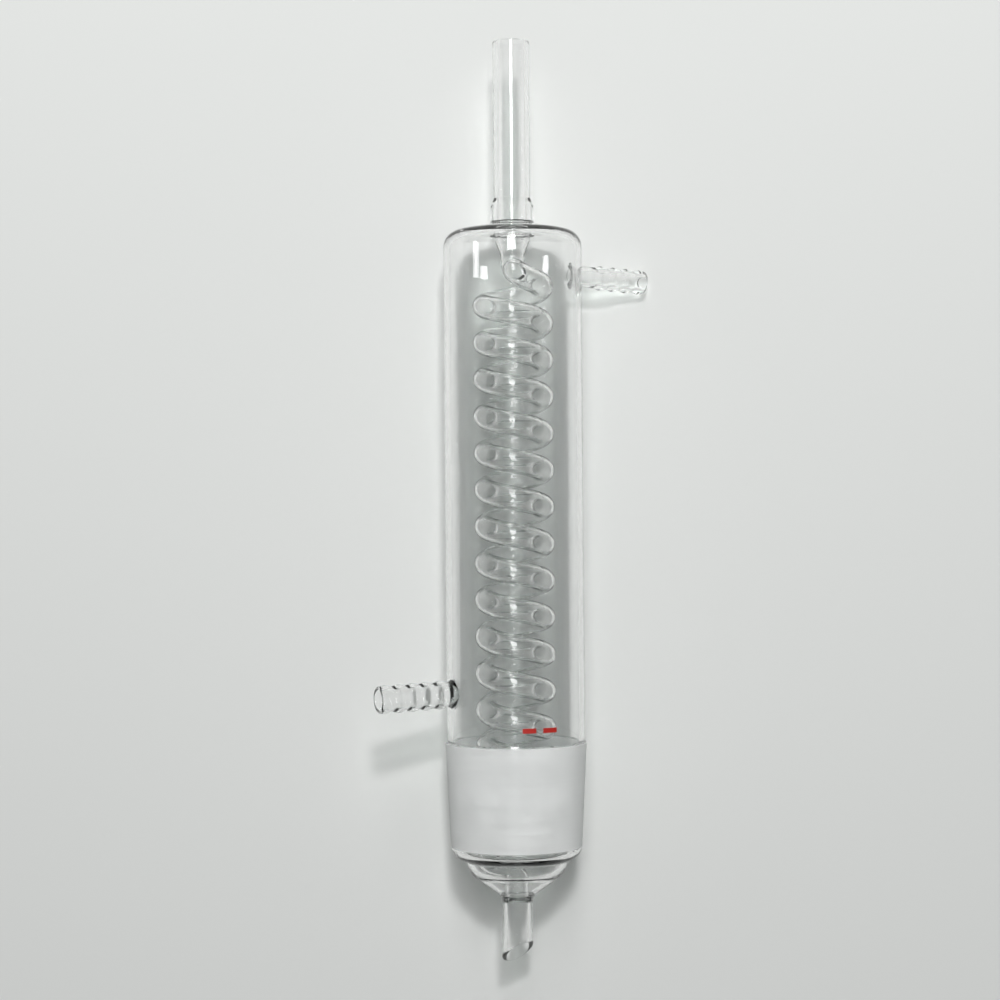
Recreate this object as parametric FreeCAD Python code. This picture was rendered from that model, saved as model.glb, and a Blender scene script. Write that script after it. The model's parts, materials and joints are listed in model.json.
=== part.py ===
# Coil condenser of clear glass, lampworked from tubing into one piece.
# A coiled vapour tube runs through a plain water jacket. Its top opens into the vent tube,
# its foot into the slanted drip tip. The jacket ends in a ground cone that seats in a wide socket.
# It is modelled upright about Z, then laid down as it rests on a bench.
# Sizes are in millimetres, angles in degrees. Heights are measured from the cone's wide end,
# and angles round the axis from the upper hose barb towards the viewer.

import FreeCAD, Part
import math
import os

# Ground cone with the standard 1:10 taper, rounded in at its end
cone_wide_diameter = 50.0
cone_length = 41.4
cone_taper = 0.1
cone_wall = 2.4
cone_end_rounding = 4.8
cone_edge_rounding = 0.5
cone_edge_height = 0.9

# Water jacket, with its shallow dome and the neck where the vent tube is sealed in
jacket_diameter = 49.2
jacket_wall = 2.0
jacket_height = 180.8
shoulder_rounding = 6.0
dome_rise = 3.4
neck_diameter = 15.2
neck_length = 6.4
neck_seal_length = 2.6
neck_seal_rounding = 1.0

# Vent tube, a little slimmer inside the jacket, where it is drawn down to the size of the coil
vent_diameter = 13.1
vent_inner_diameter = 12.7
vent_wall = 1.7
vent_length = 55.9
vent_inner_length = 2.6
vent_draw_length = 5.2
vent_draw_rounding = 3.0
vent_stub_length = 0.6

# Coil of thin tube, wound left-handed, and the bends that bring it back to the axis
coil_tube_diameter = 8.5
coil_tube_wall = 1.0
coil_mean_diameter = 20.2
coil_pitch = 13.03
coil_arcs_per_turn = 8
coil_top_angle = 68.0
coil_bend_rise = 5.5
coil_bend_reach = 8.0
coil_bend_radius = 5.0

# Funnel foot and drip tube
foot_mouth_diameter = 37.0
foot_bowl_diameter = 32.8
foot_bowl_depth = 5.3
foot_cone_depth = 7.8
foot_wall = 1.8
foot_bowl_rounding = 6.0
foot_neck_rounding = 5.0
foot_seal_height = 1.9
foot_stub_length = 1.6
drip_diameter = 11.1
drip_wall = 1.75
drip_length = 24.5
drip_cut_angle = 40.0
drip_cut_direction = 78.0

# Hose barbs
barb_reach = 52.3
barb_pitch = 5.1
barb_tip_length = 2.5
barb_tip_inset = 0.4
barb_crest_rounding = 2.0
barb_valley_rounding = 1.6
upper_barb_below_dome = 12.7
upper_barb_droop = 3.5
upper_barb_ridges = 4
upper_barb_crest = 8.9
upper_barb_valley = 7.6
upper_barb_bore = 4.4
lower_barb_height = 19.0
lower_barb_droop = 2.0
lower_barb_ridges = 5
lower_barb_crest = 10.1
lower_barb_valley = 8.8
lower_barb_bore = 7.2

# Radii left by the flame where tubes are sealed together and where ends are polished
seal_rounding = 1.4
crease_rounding = 0.8
rim_rounding = 0.7

axis_up = FreeCAD.Vector(0, 0, 1)


def rounded_edges(points, roundings, closed):
    """Straight edges through the points in order, with a tangent arc at each rounded corner."""
    starts = list(points)
    ends = list(points)
    arcs = {}
    for i, rounding in enumerate(roundings):
        if rounding == 0:
            continue
        here = points[i]
        back = (points[i - 1] - here).normalize()
        ahead = (points[(i + 1) % len(points)] - here).normalize()
        half = back.getAngle(ahead) / 2
        starts[i] = here + back * (rounding / math.tan(half))
        ends[i] = here + ahead * (rounding / math.tan(half))
        through = here + (back + ahead).normalize() * (rounding / math.sin(half) - rounding)
        arcs[i] = Part.Arc(starts[i], through, ends[i]).toShape()
    edges = []
    for i in range(len(points)):
        if (closed or i > 0) and ends[i - 1].distanceToPoint(starts[i]) > 1e-6:
            edges.append(Part.LineSegment(ends[i - 1], starts[i]).toShape())
        if i in arcs:
            edges.append(arcs[i])
    return edges


def turned(corners):
    """Solid of revolution about Z from corners (radius, height, rounding)."""
    points = [FreeCAD.Vector(radius, 0, height) for radius, height, rounding in corners]
    roundings = [rounding for radius, height, rounding in corners]
    section = Part.Face(Part.Wire(rounded_edges(points, roundings, True)))
    return section.revolve(FreeCAD.Vector(0, 0, 0), axis_up, 360)


def round_axis(angle, radius, height):
    """Point at an angle round the axis."""
    turn = math.radians(angle)
    return FreeCAD.Vector(radius * math.cos(turn), -radius * math.sin(turn), height)


def bend_half(before, corner, after):
    """Half of the angle between the two runs that meet at a corner."""
    return (before - corner).getAngle(after - corner) / 2


vent_radius = vent_diameter / 2
jacket_radius = jacket_diameter / 2
cone_radius = cone_wide_diameter / 2
tube_radius = coil_tube_diameter / 2
bore_radius = tube_radius - coil_tube_wall
drip_radius = drip_diameter / 2

# The coil follows its helix in tangent arcs, which stay within 0.01 mm of it
coil_radius = coil_mean_diameter / 2
arc_angle = 360 / coil_arcs_per_turn
arc_rise = coil_pitch / coil_arcs_per_turn
arc_half_side = coil_radius * math.tan(math.radians(arc_angle / 2))

vent_stub = jacket_height - vent_inner_length - vent_draw_length - vent_stub_length
bowl_height = -cone_length - foot_bowl_depth
drip_top = bowl_height - foot_cone_depth
foot_crotch = drip_top + foot_seal_height
drip_end = drip_top - drip_length


def bend_corners(angle, height, way):
    """Corners between the coil's end and the axis, way 1 above the coil and -1 below it."""
    join = round_axis(angle, coil_radius, height)
    ahead = round_axis(angle + 90, arc_half_side, arc_rise / 2).normalize()
    swing = join + ahead * (way * coil_bend_reach)
    centre = FreeCAD.Vector(0, 0, height + way * coil_bend_rise)
    return join, swing, centre


def bend_height():
    """Height that a bend takes from the coil's end to the straight stub on the axis."""
    join, swing, centre = bend_corners(0, 0, 1)
    half = bend_half(swing, centre, centre + axis_up)
    return coil_bend_rise + coil_bend_radius / math.tan(half)


coil_top = vent_stub - bend_height()
coil_arcs = int((coil_top - bend_height() - foot_stub_length - foot_crotch) / arc_rise)
coil_foot = coil_top - coil_arcs * arc_rise
coil_foot_angle = coil_top_angle - coil_arcs * arc_angle
foot_stub = coil_foot - bend_height()


def body():
    """Jacket, vent tube, ground cone and funnel foot as one wall, open where the coil joins."""
    dome_foot = jacket_height + dome_rise
    neck_top = dome_foot + neck_length
    vent_foot = neck_top + neck_seal_length
    vent_top = vent_foot + vent_length
    draw_foot = vent_stub + vent_stub_length
    draw_top = draw_foot + vent_draw_length
    cone_end_radius = cone_radius - cone_length * cone_taper / 2
    mouth_radius = foot_mouth_diameter / 2
    bowl_radius = foot_bowl_diameter / 2
    inner_jacket = jacket_radius - jacket_wall
    inner_vent = vent_radius - vent_wall
    inner_drip = drip_radius - drip_wall
    outside = [
        (vent_radius, vent_top, rim_rounding),
        (vent_radius, vent_foot, neck_seal_rounding),
        (neck_diameter / 2, neck_top, neck_seal_rounding),
        (neck_diameter / 2, dome_foot, seal_rounding),
        (jacket_radius, jacket_height, shoulder_rounding),
        (jacket_radius, cone_edge_height, cone_edge_rounding),
        (cone_radius, 0, cone_edge_rounding),
        (cone_end_radius, -cone_length, cone_end_rounding),
        (mouth_radius, -cone_length, crease_rounding),
        (bowl_radius, bowl_height, foot_bowl_rounding),
        (drip_radius, drip_top, foot_neck_rounding),
        (drip_radius, drip_end - drip_wall, 0),
    ]
    drip_bore = [
        (inner_drip, drip_end - drip_wall, 0),
        (inner_drip, drip_top - foot_seal_height, crease_rounding),
        (bore_radius, drip_top, crease_rounding),
        (bore_radius, foot_stub, 0),
    ]
    water_space = [
        (tube_radius, foot_stub, 0),
        (tube_radius, foot_crotch, crease_rounding / 2),
        (bowl_radius - foot_wall, bowl_height + foot_wall, foot_bowl_rounding - foot_wall / 2),
        (mouth_radius - foot_wall, -cone_length + cone_wall, crease_rounding + foot_wall),
        (cone_end_radius - cone_wall, -cone_length + cone_wall, cone_end_rounding - cone_wall),
        (inner_jacket, 0, 0),
        (inner_jacket, jacket_height - jacket_wall, shoulder_rounding - jacket_wall),
        (vent_inner_diameter / 2, dome_foot - jacket_wall, seal_rounding),
        (vent_inner_diameter / 2, draw_top, vent_draw_rounding),
        (tube_radius, draw_foot, vent_draw_rounding),
        (tube_radius, vent_stub, 0),
    ]
    vent_bore = [
        (bore_radius, vent_stub, 0),
        (bore_radius, draw_foot, vent_draw_rounding),
        (inner_vent, draw_top, vent_draw_rounding),
        (inner_vent, vent_top, rim_rounding),
    ]
    return turned(outside + drip_bore + water_space + vent_bore)


def coil():
    """Hollow coil with a bend at each end, drawn in one run from the drip tube to the vent tube."""
    join, swing, centre = bend_corners(coil_foot_angle, coil_foot, -1)
    points = [FreeCAD.Vector(0, 0, foot_stub), centre, swing]
    swing_radius = coil_bend_reach * math.tan(bend_half(centre, swing, join))
    arc_corner_radius = math.hypot(coil_radius, arc_half_side)
    for k in range(coil_arcs):
        angle = coil_foot_angle + (k + 0.5) * arc_angle
        points.append(round_axis(angle, arc_corner_radius, coil_foot + (k + 0.5) * arc_rise))
    join, swing, centre = bend_corners(coil_top_angle, coil_top, 1)
    points += [swing, centre, FreeCAD.Vector(0, 0, vent_stub)]
    side = math.hypot(arc_half_side, arc_rise / 2)
    arc_radius = side * math.tan(bend_half(points[3], points[4], points[5]))
    bends = [coil_bend_radius, swing_radius]
    roundings = [0] + bends + [arc_radius] * coil_arcs + bends[::-1] + [0]
    path = Part.Wire(rounded_edges(points, roundings, False))
    rings = [Part.Face(Part.Wire(Part.makeCircle(r, points[0]))) for r in (tube_radius, bore_radius)]
    return path.makePipe(rings[0].cut(rings[1]).Faces[0])


def barb(ridges, crest, valley, bore):
    """Hose barb pointing up Z from the middle of the jacket's wall, with soft ridges."""
    last_crest = barb_reach - barb_tip_length
    corners = [
        (bore / 2, jacket_radius - jacket_wall / 2, 0),
        (valley / 2, jacket_radius - jacket_wall / 2, 0),
    ]
    for k in range(ridges):
        ridge = last_crest - barb_pitch * (ridges - 1 - k)
        corners.append((valley / 2, ridge - barb_pitch / 2, barb_valley_rounding))
        corners.append((crest / 2, ridge, barb_crest_rounding))
    corners.append((crest / 2 - barb_tip_inset, barb_reach, rim_rounding))
    corners.append((bore / 2, barb_reach, rim_rounding))
    return turned(corners)


def barb_bore(bore):
    """Cylinder that opens the jacket's wall into a barb."""
    start = FreeCAD.Vector(0, 0, jacket_radius - 2 * jacket_wall)
    return Part.makeCylinder(bore / 2, 4 * jacket_wall, start, axis_up)


def aimed(shape, height, droop, side):
    """Turn a barb out from the axis at a height, on the +X side if 0 and the -X side if 180."""
    shape.rotate(FreeCAD.Vector(0, 0, 0), FreeCAD.Vector(0, 1, 0), 90 + droop)
    shape.rotate(FreeCAD.Vector(0, 0, 0), axis_up, side)
    shape.translate(FreeCAD.Vector(0, 0, height))
    return shape


def edges_round_barb(shape, radius, height, reach):
    """Edges on the jacket's face of the given radius, no further than reach from a height."""
    found = []
    for edge in shape.Edges:
        points = edge.discretize(9)
        on_face = all(abs(math.hypot(p.x, p.y) - radius) < 0.01 for p in points)
        if on_face and all(abs(p.z - height) < reach for p in points):
            found.append(edge)
    return found


def with_barb(wall, height, droop, side, sizes):
    """Seal a barb on to the wall, bore it and melt the joint smooth."""
    ridges, crest, valley, bore = sizes
    wall = wall.fuse(aimed(barb(ridges, crest, valley, bore), height, droop, side))
    wall = wall.cut(aimed(barb_bore(bore), height, droop, side))
    wall = wall.makeFillet(seal_rounding, edges_round_barb(wall, jacket_radius, height, crest))
    inside = edges_round_barb(wall, jacket_radius - jacket_wall, height, crest)
    return wall.makeFillet(crease_rounding, inside)


def with_slanted_tip(wall):
    """Cut the drip tube off at a slant, its low point away from the viewer, and polish the edge."""
    aim = math.radians(drip_cut_direction)
    tilt = math.radians(drip_cut_angle)
    away = FreeCAD.Vector(math.cos(aim), -math.sin(aim), 0)
    normal = away * math.sin(tilt) - axis_up * math.cos(tilt)
    middle = FreeCAD.Vector(0, 0, drip_end + drip_radius * math.tan(tilt))
    wall = wall.cut(Part.makeCylinder(2 * drip_diameter, 2 * drip_diameter, middle, normal))
    rims = []
    for edge in wall.Edges:
        if all(abs((p - middle).dot(normal)) < 0.01 for p in edge.discretize(5)):
            rims.append(edge)
    return wall.makeFillet(rim_rounding, rims)


def resting_roll(axis_height):
    """Roll that brings the upper barb's rim down on to the bench."""
    out = (barb_reach - rim_rounding) * math.cos(math.radians(upper_barb_droop))
    slant = barb_tip_inset / barb_tip_length
    tip_radius = upper_barb_crest / 2 - barb_tip_inset
    across = tip_radius + rim_rounding * (slant - math.hypot(1, slant))
    lean = math.asin((axis_height - rim_rounding) / math.hypot(out, across))
    return math.degrees(lean - math.atan(across / out))


def laid_down(shape):
    """Lay the upright shape on the bench, on its cone's edge, its jacket and the upper barb."""
    centre = FreeCAD.Vector(0, 0, 0)
    along_x = FreeCAD.Vector(1, 0, 0)
    along_y = FreeCAD.Vector(0, 1, 0)
    slope = math.atan((cone_radius - jacket_radius) / (jacket_height - shoulder_rounding))
    tip_drop = barb_reach * math.sin(math.radians(upper_barb_droop))
    tip_place = jacket_height - upper_barb_below_dome - tip_drop
    axis_height = cone_radius - math.tan(slope) * tip_place
    shape.rotate(centre, along_x, -90)
    shape.rotate(centre, along_y, resting_roll(axis_height))
    shape.rotate(centre, along_x, -math.degrees(slope))
    box = shape.optimalBoundingBox(False)
    shape.translate(FreeCAD.Vector(-box.Center.x, -box.Center.y, -box.ZMin))
    return shape


def condenser():
    """The whole condenser as one wall of glass."""
    wall = body()
    wall.rotate(FreeCAD.Vector(0, 0, 0), axis_up, 90)
    upper = (upper_barb_ridges, upper_barb_crest, upper_barb_valley, upper_barb_bore)
    lower = (lower_barb_ridges, lower_barb_crest, lower_barb_valley, lower_barb_bore)
    wall = with_barb(wall, jacket_height - upper_barb_below_dome, upper_barb_droop, 0, upper)
    wall = with_barb(wall, lower_barb_height, lower_barb_droop, 180, lower)
    wall = with_slanted_tip(wall)
    return laid_down(wall.fuse(coil()).Solids[0])


os.makedirs("parts", exist_ok=True)
condenser().exportStep("parts/condenser.step")
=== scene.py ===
# %% [markdown]
# # A coil condenser of clear glass
#
# The photograph looks straight down on a condenser that lies on a bench. The glass itself comes
# from the CAD model: one wall of glass with real inner and outer faces, bores and a hollow coil.
# This script gives it its glass, its frosted cone and its enamel marks, and sets up the light.
# Glass has no colour of its own, so most of the work is in what surrounds it.

import bpy
import json
import math
from mathutils import Matrix, Vector


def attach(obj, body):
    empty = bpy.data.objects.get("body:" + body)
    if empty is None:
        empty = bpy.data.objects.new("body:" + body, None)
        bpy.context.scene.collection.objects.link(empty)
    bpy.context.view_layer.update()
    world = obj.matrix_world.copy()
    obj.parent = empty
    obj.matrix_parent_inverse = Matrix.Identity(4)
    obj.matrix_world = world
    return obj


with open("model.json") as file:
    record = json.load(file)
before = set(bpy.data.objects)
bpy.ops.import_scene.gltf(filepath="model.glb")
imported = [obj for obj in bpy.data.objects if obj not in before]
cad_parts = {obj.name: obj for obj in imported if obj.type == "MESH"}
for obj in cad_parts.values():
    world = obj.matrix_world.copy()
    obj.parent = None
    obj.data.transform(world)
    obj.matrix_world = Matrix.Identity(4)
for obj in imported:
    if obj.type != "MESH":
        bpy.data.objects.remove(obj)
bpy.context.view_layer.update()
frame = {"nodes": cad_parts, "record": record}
glassware = frame["nodes"]["condenser"]
print("glass faces", len(glassware.data.polygons))

# %% [markdown]
# The condenser's own axis is not quite level, because the wide end of its ground cone is a
# little thicker than the jacket and lifts it. The record gives that axis with the places where
# the cone and the vent tube are joined to other glassware. Placing a mark or a finish is easier
# in the condenser's own measures: Y runs from the cone's wide end towards the vent tube, X
# across to the right, and Z up towards the viewer. This cell makes one matrix from them to the
# scene.

# %% The condenser's own axis
MM = 0.001

mounts = {mount["name"]: mount for mount in frame["record"]["mounts"]}
slope = math.asin(-mounts["vent_tube"]["axis"][2])
wide_end = Matrix.Translation(mounts["ground_cone"]["pos_m"])
own_axis = wide_end @ Matrix.Rotation(-slope, 4, "X")
print("wide end of the cone at", tuple(round(v, 5) for v in own_axis.translation))


def srgb(code):
    """Linear colour with alpha from an sRGB hex code."""
    parts = [int(code[i:i + 2], 16) / 255 for i in (1, 3, 5)]
    return [v / 12.92 if v <= 0.04045 else ((v + 0.055) / 1.055) ** 2.4 for v in parts] + [1.0]


# %% [markdown]
# Every material below is a small graph of nodes. One helper adds a node, sets its values and
# plugs in its links, so that each graph reads from top to bottom.

# %% A helper for materials
def add(tree, kind, settings=None, links=None):
    """Node of a kind, with attributes or socket values from settings and sockets from links."""
    node = tree.nodes.new(kind)
    for name, value in (settings or {}).items():
        if isinstance(name, str) and hasattr(node, name):
            setattr(node, name, value)
        else:
            node.inputs[name].default_value = value
    for name, source in (links or {}).items():
        tree.links.new(source, node.inputs[name])
    return node


def empty_material(name):
    """New material with nothing but its output node."""
    material = bpy.data.materials.new(name)
    material.use_nodes = True
    material.node_tree.nodes.clear()
    return material, material.node_tree


# %% [markdown]
# **Borosilicate glass** is drawn from tubing and fire polished, so it is smooth and nearly
# colourless. The **ground cone** is the same glass rubbed with fine grit. One material does
# both, because it is one piece of glass, and a mask says where it is ground: between the cone's
# wide end and the clear, rounded lip at its foot, and no deeper than a thin skin under the
# cone's outer face, which loses 1 mm of width in every 10 mm of length. Sizes are in mm.

# %% Where the glass is ground
CONE_RADIUS = 25.0
CONE_TAPER = 0.05
CONE_SKIN = 1.2
FROST_TOP = 0.25
FROST_FOOT = -36.6
FROST_EDGE = 0.35

glass, tree = empty_material("borosilicate_fire_polished_and_ground")
place = add(tree, "ShaderNodeNewGeometry")
turned = add(tree, "ShaderNodeVectorRotate", {"rotation_type": "X_AXIS", "Angle": slope},
             {"Vector": add(tree, "ShaderNodeVectorMath",
                            {"operation": "SUBTRACT", 1: tuple(own_axis.translation)},
                            {0: place.outputs["Position"]}).outputs[0]})
own = add(tree, "ShaderNodeSeparateXYZ", None, {0: turned.outputs[0]})
across = add(tree, "ShaderNodeCombineXYZ", None,
             {"X": own.outputs["X"], "Z": own.outputs["Z"]})
radius = add(tree, "ShaderNodeVectorMath", {"operation": "LENGTH"}, {0: across.outputs[0]})
skin = add(tree, "ShaderNodeMath",
           {"operation": "MULTIPLY_ADD", 1: -CONE_TAPER, 2: -(CONE_RADIUS - CONE_SKIN) * MM},
           {0: own.outputs["Y"]})
outside = add(tree, "ShaderNodeMath", {"operation": "ADD"},
              {0: radius.outputs["Value"], 1: skin.outputs[0]})
on_outside = add(tree, "ShaderNodeMath", {"operation": "GREATER_THAN", 1: 0.0},
                 {0: outside.outputs[0]})
above_foot = add(tree, "ShaderNodeMapRange",
                 {"From Min": (FROST_FOOT - FROST_EDGE) * MM,
                  "From Max": (FROST_FOOT + FROST_EDGE) * MM},
                 {"Value": own.outputs["Y"]})
below_top = add(tree, "ShaderNodeMapRange",
                {"From Min": (FROST_TOP + FROST_EDGE) * MM,
                 "From Max": (FROST_TOP - FROST_EDGE) * MM},
                {"Value": own.outputs["Y"]})
zone = add(tree, "ShaderNodeMath", {"operation": "MULTIPLY"},
           {0: above_foot.outputs[0], 1: below_top.outputs[0]})
frost = add(tree, "ShaderNodeMath", {"operation": "MULTIPLY"},
            {0: zone.outputs[0], 1: on_outside.outputs[0]})
print("ground from", FROST_TOP, "to", FROST_FOOT, "mm along the axis")

# %% [markdown]
# The cone turns while it is ground, so its white isn't quite even: fine rings run around it,
# over cloudy patches several mm wide. Both come from noise in the condenser's own measures. For
# the rings the noise is stretched across the axis, so it changes quickly along the cone and
# slowly around it. The two are added to the mean share of white, each by its depth.

# %% How white the ground face is
FROST_WHITE = 0.72
PATCH_SIZE = 9.0
PATCH_DEPTH = 0.34
RING_SIZE = 0.9
RING_STRETCH = 0.02
RING_DEPTH = 0.26

patches = add(tree, "ShaderNodeTexNoise", {"Scale": 1 / (PATCH_SIZE * MM), "Detail": 2.0},
              {"Vector": turned.outputs[0]})
wound = add(tree, "ShaderNodeVectorMath",
            {"operation": "MULTIPLY", 1: (RING_STRETCH, 1.0, RING_STRETCH)}, {0: turned.outputs[0]})
rings = add(tree, "ShaderNodeTexNoise", {"Scale": 1 / (RING_SIZE * MM), "Detail": 1.0},
            {"Vector": wound.outputs[0]})
clouds = add(tree, "ShaderNodeMath",
             {"operation": "MULTIPLY_ADD", 1: PATCH_DEPTH,
              2: FROST_WHITE - (PATCH_DEPTH + RING_DEPTH) / 2},
             {0: patches.outputs[0]})
ground = add(tree, "ShaderNodeMath", {"operation": "MULTIPLY_ADD", 1: RING_DEPTH},
             {0: rings.outputs[0], 2: clouds.outputs[0]})
haze = add(tree, "ShaderNodeMath", {"operation": "MULTIPLY"},
           {0: frost.outputs[0], 1: ground.outputs[0]})
print("rings of", RING_SIZE, "mm over patches of", PATCH_SIZE, "mm")

# %% [markdown]
# Borosilicate glass has an index of refraction of 1.473. A ground face scatters the light in two
# ways: it bends it roughly on its way through, and its open pits send part of it back as white.
# So the ground glass is a mix of rough glass and matt white, and the clear glass is neither.
#
# A path tracer finds little light through so many curved walls, so real glass shadows come out
# too dark. For shadow rays alone the glass is a thin grey filter, darker where a wall is seen
# edge-on, which is also where real glass throws its dark lines.

# %% Glass
GLASS_IOR = 1.473
FROST_ROUGHNESS = 0.42
FILTER_BLEND = 0.35

rough = add(tree, "ShaderNodeMath", {"operation": "MULTIPLY", 1: FROST_ROUGHNESS},
            {0: frost.outputs[0]})
clear = add(tree, "ShaderNodeBsdfPrincipled",
            {"Base Color": srgb("#FFFFFF"), "IOR": GLASS_IOR, "Transmission Weight": 1.0},
            {"Roughness": rough.outputs[0]})
white = add(tree, "ShaderNodeBsdfDiffuse", {"Color": srgb("#F2F4F3")})
body = add(tree, "ShaderNodeMixShader", None,
           {0: haze.outputs[0], 1: clear.outputs[0], 2: white.outputs[0]})
edge = add(tree, "ShaderNodeLayerWeight", {"Blend": FILTER_BLEND})
tint = add(tree, "ShaderNodeMix", {"data_type": "RGBA", 6: srgb("#EAECEB"), 7: srgb("#1E2221")},
           {"Factor": edge.outputs["Facing"]})
filter_ = add(tree, "ShaderNodeBsdfTransparent", None, {"Color": tint.outputs[2]})
path = add(tree, "ShaderNodeLightPath")
final = add(tree, "ShaderNodeMixShader", None,
            {0: path.outputs["Is Shadow Ray"], 1: body.outputs[0], 2: filter_.outputs[0]})
add(tree, "ShaderNodeOutputMaterial", None, {"Surface": final.outputs[0]})
glassware.data.materials.clear()
glassware.data.materials.append(glass)
print("glass nodes", len(tree.nodes))

# %% [markdown]
# The makers of such glassware bake small **red enamel** marks on it, just above the ground cone.
# Here they are two plain dashes. Each is a thin curved plate that lies on the jacket's wall: two
# layers of points on cylinders a little larger than the jacket, joined by faces on all sides.
# Sizes are in mm, and the height is that above the cone's wide end.

# %% Red enamel dashes
JACKET_RADIUS = 24.6
DASH_HEIGHT = 6.4
DASH_LENGTH = 4.7
DASH_WIDTH = 1.7
DASH_GAP = 2.4
DASH_START = 2.1
DASH_LIFT = 0.02
DASH_THICKNESS = 0.08

enamel, tree = empty_material("red_enamel_baked")
paint = add(tree, "ShaderNodeBsdfPrincipled",
            {"Base Color": srgb("#B3261E"), "Roughness": 0.35, "IOR": 1.5})
add(tree, "ShaderNodeOutputMaterial", None, {"Surface": paint.outputs[0]})


def dash(name, start):
    """Closed curved plate on the jacket, from start mm right of its middle to the right."""
    columns = 12
    points = []
    faces = []
    for lift in (DASH_LIFT, DASH_LIFT + DASH_THICKNESS):
        for i in range(columns + 1):
            turn = math.asin((start + DASH_LENGTH * i / columns) / JACKET_RADIUS)
            for side in (-1, 1):
                height = DASH_HEIGHT + side * DASH_WIDTH / 2
                across = (JACKET_RADIUS + lift) * math.sin(turn)
                up = (JACKET_RADIUS + lift) * math.cos(turn)
                points.append(own_axis @ (Vector((across, height, up)) * MM))
    upper = 2 * (columns + 1)
    for i in range(columns):
        low = 2 * i
        faces.append((low, low + 1, low + 3, low + 2))
        faces.append((upper + low, upper + low + 2, upper + low + 3, upper + low + 1))
        faces.append((low, low + 2, upper + low + 2, upper + low))
        faces.append((low + 1, upper + low + 1, upper + low + 3, low + 3))
    last = 2 * columns
    faces.append((0, upper, upper + 1, 1))
    faces.append((last, last + 1, upper + last + 1, upper + last))
    mesh = bpy.data.meshes.new(name)
    mesh.from_pydata(points, [], faces)
    piece = bpy.data.objects.new(name, mesh)
    bpy.context.collection.objects.link(piece)
    mesh.materials.append(enamel)
    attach(piece, "root")


dash("enamel_dash_left", DASH_START)
dash("enamel_dash_right", DASH_START + DASH_LENGTH + DASH_GAP)
print("dashes at", DASH_HEIGHT, "mm above the cone")

# %% [markdown]
# The bench is a plain pale floor of matt paper. It reaches so far that a low view shows no edge
# near the glass, and no dark band where it ends is mirrored in the tubes.

# %% Floor
FLOOR_HALF = 8.0
floor_mesh = bpy.data.meshes.new("floor")
floor_mesh.from_pydata(
    [(-FLOOR_HALF, -FLOOR_HALF, 0), (FLOOR_HALF, -FLOOR_HALF, 0),
     (FLOOR_HALF, FLOOR_HALF, 0), (-FLOOR_HALF, FLOOR_HALF, 0)], [], [(0, 1, 2, 3)])
floor = bpy.data.objects.new("floor", floor_mesh)
bpy.context.collection.objects.link(floor)
paper, tree = empty_material("pale_paper_matt")
sheet = add(tree, "ShaderNodeBsdfPrincipled", {"Base Color": srgb("#DADCDA"), "Roughness": 0.9})
add(tree, "ShaderNodeOutputMaterial", None, {"Surface": sheet.outputs[0]})
floor_mesh.materials.append(paper)
print("floor", 2 * FLOOR_HALF, "m wide")

# %% [markdown]
# Glass is drawn by what it mirrors and bends. A pale room alone would make it vanish, so the
# world is bright overhead and dark near the horizon: the sides of every tube then pick up a dark
# line, which is what makes an edge readable.
#
# A long **strip lamp** hangs above the axis, from over the vent tube away past its end. It is
# the bright line along the vent tube, and each turn of the coil catches it as one bright spot,
# while the straight jacket doesn't mirror it into the camera. A small **key lamp** near it gives
# the shadows a clearer edge. Two short **side lamps**, turned towards the glass, are the upright
# dashes below the jacket's shoulder.

# %% World and lamps
HORIZON_END = 0.35
OVERHEAD_START = 0.8
SKY_STRENGTH = 0.38

world = bpy.data.worlds.new("room")
bpy.context.scene.world = world
world.use_nodes = True
tree = world.node_tree
tree.nodes.clear()
look = add(tree, "ShaderNodeTexCoord")
height = add(tree, "ShaderNodeSeparateXYZ", None, {0: look.outputs["Generated"]})
ramp = add(tree, "ShaderNodeValToRGB", None, {0: height.outputs["Z"]})
ramp.color_ramp.elements[0].position = HORIZON_END
ramp.color_ramp.elements[0].color = srgb("#1B1B1B")
ramp.color_ramp.elements[1].position = OVERHEAD_START
ramp.color_ramp.elements[1].color = srgb("#DFDFDF")
sky = add(tree, "ShaderNodeBackground", {"Strength": SKY_STRENGTH}, {"Color": ramp.outputs[0]})
add(tree, "ShaderNodeOutputWorld", None, {"Surface": sky.outputs[0]})


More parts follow.
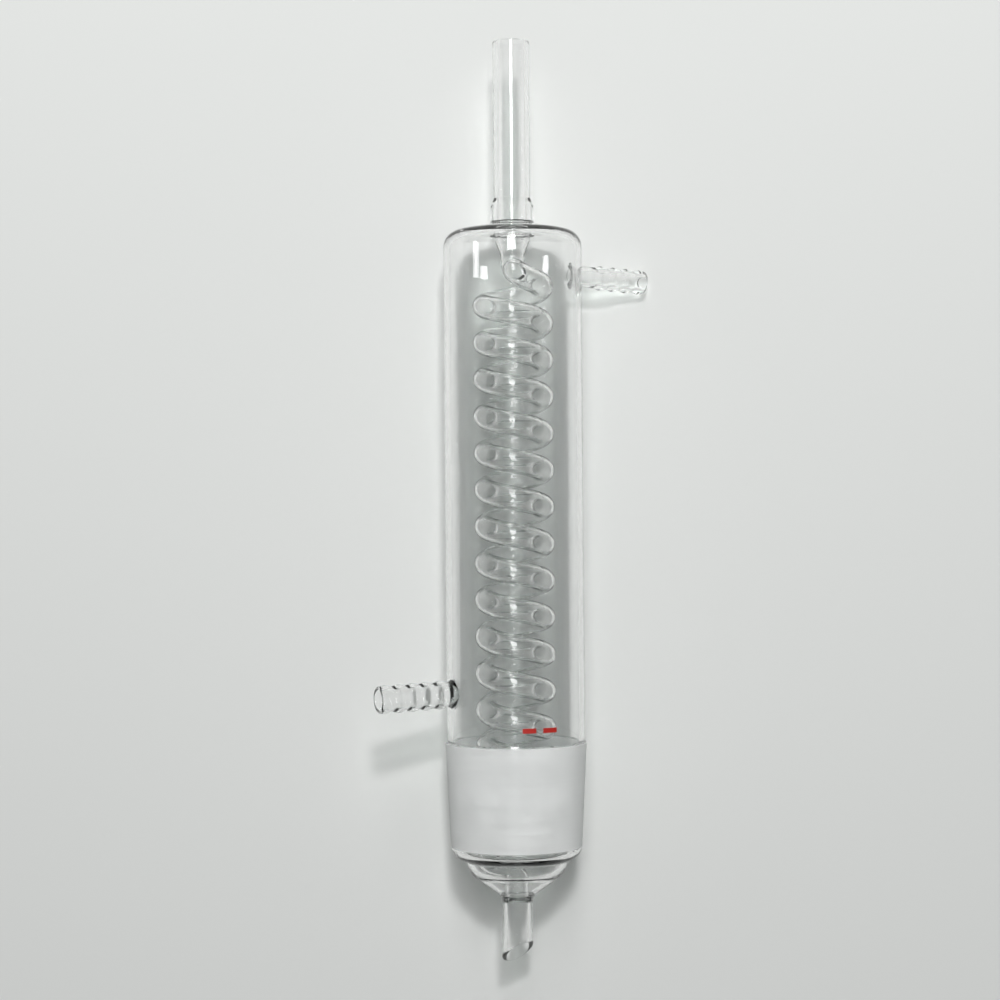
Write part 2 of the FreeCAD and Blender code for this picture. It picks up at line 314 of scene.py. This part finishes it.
def lamp(name, place, turn, wide, long, power):
    """Area lamp in metres and watts, turned about Y by degrees so that it faces the glass."""
    data = bpy.data.lights.new(name, "AREA")
    data.shape = "RECTANGLE"
    data.size = wide
    data.size_y = long
    data.energy = power
    light = bpy.data.objects.new(name, data)
    bpy.context.collection.objects.link(light)
    light.location = place
    light.rotation_euler = (0, math.radians(turn), 0)


STRIP_START = 0.27
STRIP_LENGTH = 2.2
STRIP_MIDDLE = STRIP_START + STRIP_LENGTH / 2
lamp("lamp_strip", place=(-0.05, STRIP_MIDDLE, 1.62), turn=0, wide=0.4, long=STRIP_LENGTH, power=25)
lamp("lamp_key", place=(0.09, 0.8, 1.55), turn=0, wide=0.18, long=0.18, power=14.5)
lamp("lamp_left", place=(-1.42, 0.257, 0.71), turn=-64, wide=0.22, long=0.04, power=0.26)
lamp("lamp_right", place=(1.33, 0.252, 0.88), turn=57, wide=0.22, long=0.016, power=0.13)
print("strip lamp above y", STRIP_START, "to", STRIP_START + STRIP_LENGTH, "m")

# %% [markdown]
# The camera looks straight down, as in the photograph. Its lens is long, so the condenser shows
# little perspective. The condenser leans a touch to the left in the picture, so the camera is
# turned by the same small angle. Light passes through up to a dozen glass faces behind each
# other here, so the renderer is allowed many bounces before it gives up on a ray.

# %% Camera
VIEW_WIDTH = 0.3552
VIEW_MIDDLE = (-0.0049, 0.0007, 0.025)
CAMERA_DISTANCE = 0.8
LEAN = math.radians(0.45)
SENSOR = 36.0
BOUNCES = 40

camera_data = bpy.data.cameras.new("camera")
camera_data.sensor_width = SENSOR
camera_data.lens = SENSOR * CAMERA_DISTANCE / VIEW_WIDTH
camera = bpy.data.objects.new("camera", camera_data)
bpy.context.collection.objects.link(camera)
camera.location = Vector(VIEW_MIDDLE) + Vector((0, 0, CAMERA_DISTANCE))
camera.rotation_euler = (0, 0, -LEAN)
scene = bpy.context.scene
scene.camera = camera
scene.view_settings.view_transform = "Standard"
scene.cycles.max_bounces = BOUNCES
scene.cycles.transmission_bounces = BOUNCES
scene.cycles.transparent_max_bounces = BOUNCES
print("lens", round(camera_data.lens, 1), "mm")
